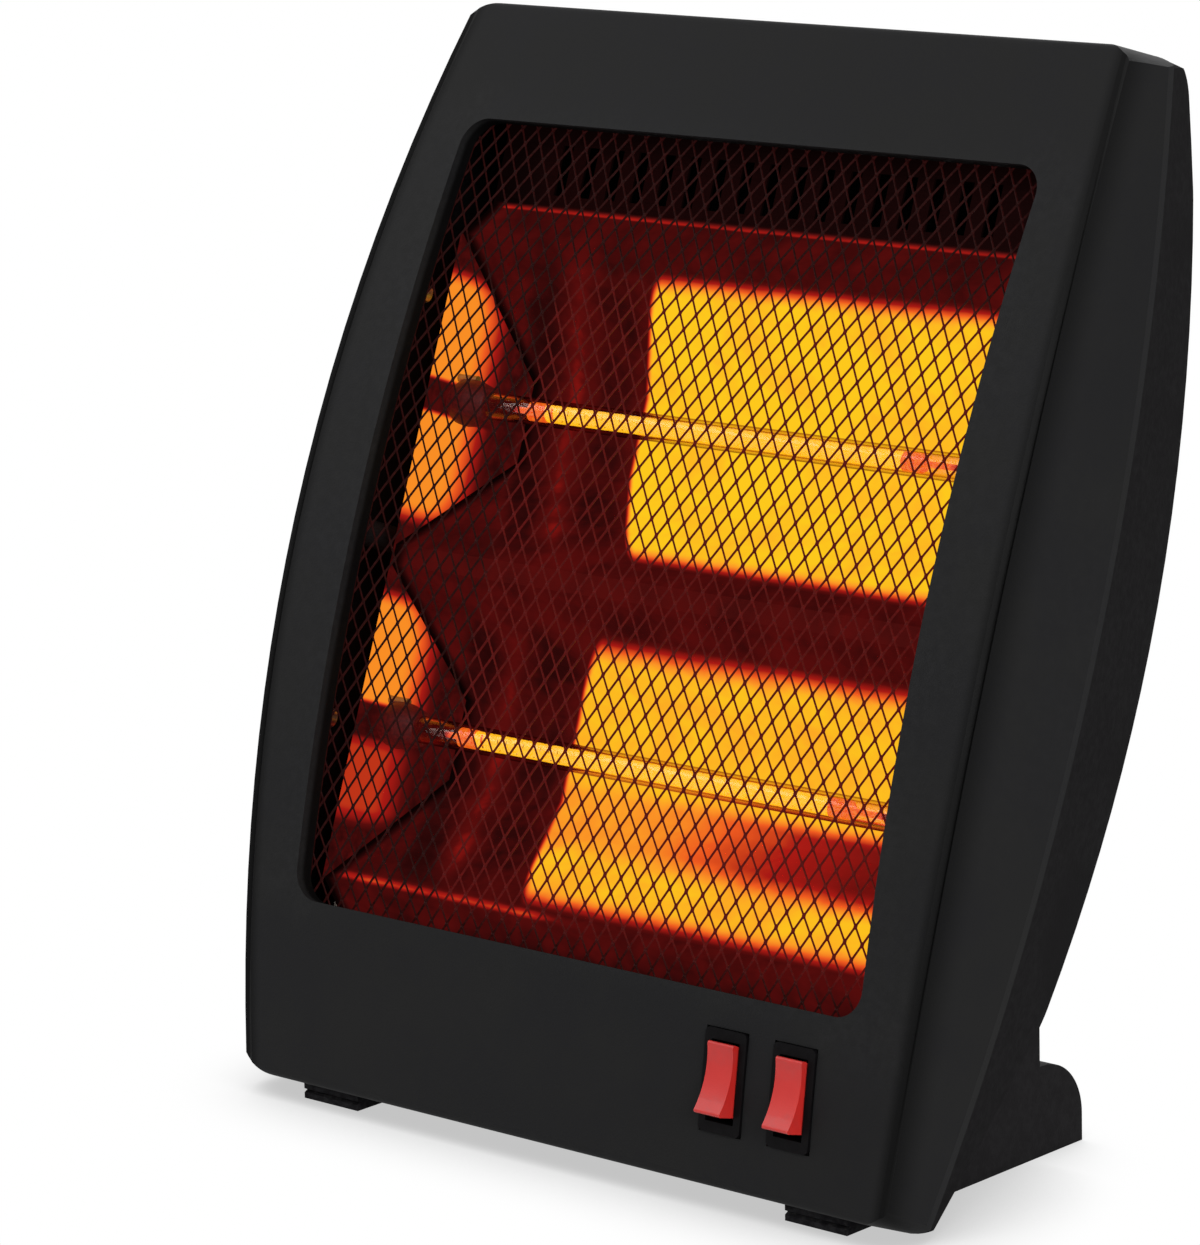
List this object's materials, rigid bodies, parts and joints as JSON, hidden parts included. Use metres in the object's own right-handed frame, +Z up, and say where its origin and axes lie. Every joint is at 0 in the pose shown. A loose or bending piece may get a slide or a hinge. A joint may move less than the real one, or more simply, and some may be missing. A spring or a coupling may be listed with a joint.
{
  "type": "carbon heater",
  "caption": "Leaning table-top carbon heater with a bulged black frame, diamond guard, glowing quartz lamps in a troughed reflector, red rocker switches and straight legs.",
  "frame": {"origin": "on the floor, at the middle of the heater's box", "axes": "+X to the heater's right as seen from the front, +Y to its back, +Z up; the front faces -Y"},
  "size_m": [0.2786, 0.1424, 0.3075],
  "materials": {
    "housing_plastic": "fine satin grain",
    "guard_steel": "satin black",
    "reflector_aluminium": "polished",
    "plate_steel": "bright sheet",
    "quartz": "clear",
    "hot_coil": "glowing",
    "holder_ceramic": "matte",
    "lead_steel": "drawn",
    "screw_steel": "zinc plated",
    "tag_brass": "stamped",
    "switch_plastic": "satin",
    "rocker_red": "semi gloss",
    "block_plastic": "moulded",
    "gland_rubber": "matte",
    "wire_sleeve": "woven sleeve",
    "toe_rubber": "matte"
  },
  "bodies": {
    "heater": {"front_housing": "housing_plastic", "rear_housing": "housing_plastic", "guard_grille": "guard_steel", "reflector": "reflector_aluminium", "left_end_plate": "plate_steel", "right_end_plate": "plate_steel", "upper_quartz_tube": "quartz", "lower_quartz_tube": "quartz", "upper_heating_coil": "hot_coil", "lower_heating_coil": "hot_coil", "upper_left_lamp_holder": "holder_ceramic", "upper_right_lamp_holder": "holder_ceramic", "lower_left_lamp_holder": "holder_ceramic", "lower_right_lamp_holder": "holder_ceramic", "coil_end_plugs": "lead_steel", "holder_screws": "screw_steel", "lamp_tags": "tag_brass", "case_screws": "screw_steel", "guard_screws": "screw_steel", "reflector_screws": "screw_steel", "block_screw": "screw_steel", "tilt_screw": "screw_steel", "left_switch_case": "switch_plastic", "right_switch_case": "switch_plastic", "switch_blades": "tag_brass", "terminal_block": "block_plastic", "cord_gland": "gland_rubber", "lamp_wires": "wire_sleeve", "supply_wires": "wire_sleeve", "tilt_case": "block_plastic", "left_leg": "housing_plastic", "right_leg": "housing_plastic", "leg_screws": "screw_steel", "left_toe_pad": "toe_rubber", "right_toe_pad": "toe_rubber"},
    "left_rocker": {"left_rocker": "rocker_red"},
    "right_rocker": {"right_rocker": "rocker_red"},
    "tilt_weight": {"tilt_pendulum": "lead_steel"}
  },
  "joints": [
    {"name": "left_rocker_turn", "type": "hinge", "parent": "heater", "child": "left_rocker", "pos_m": [0.0611, -0.06176, 0.03548], "axis": [1, 0, 0], "range_deg": [0, 22]},
    {"name": "right_rocker_turn", "type": "hinge", "parent": "heater", "child": "right_rocker", "pos_m": [0.085, -0.06176, 0.03548], "axis": [1, 0, 0], "range_deg": [0, 22]},
    {"name": "tilt_weight_swing", "type": "hinge", "parent": "heater", "child": "tilt_weight", "pos_m": [0.001, -0.04652, 0.03107], "axis": [1, 0, 0], "range_deg": [-15, 15]}
  ]
}
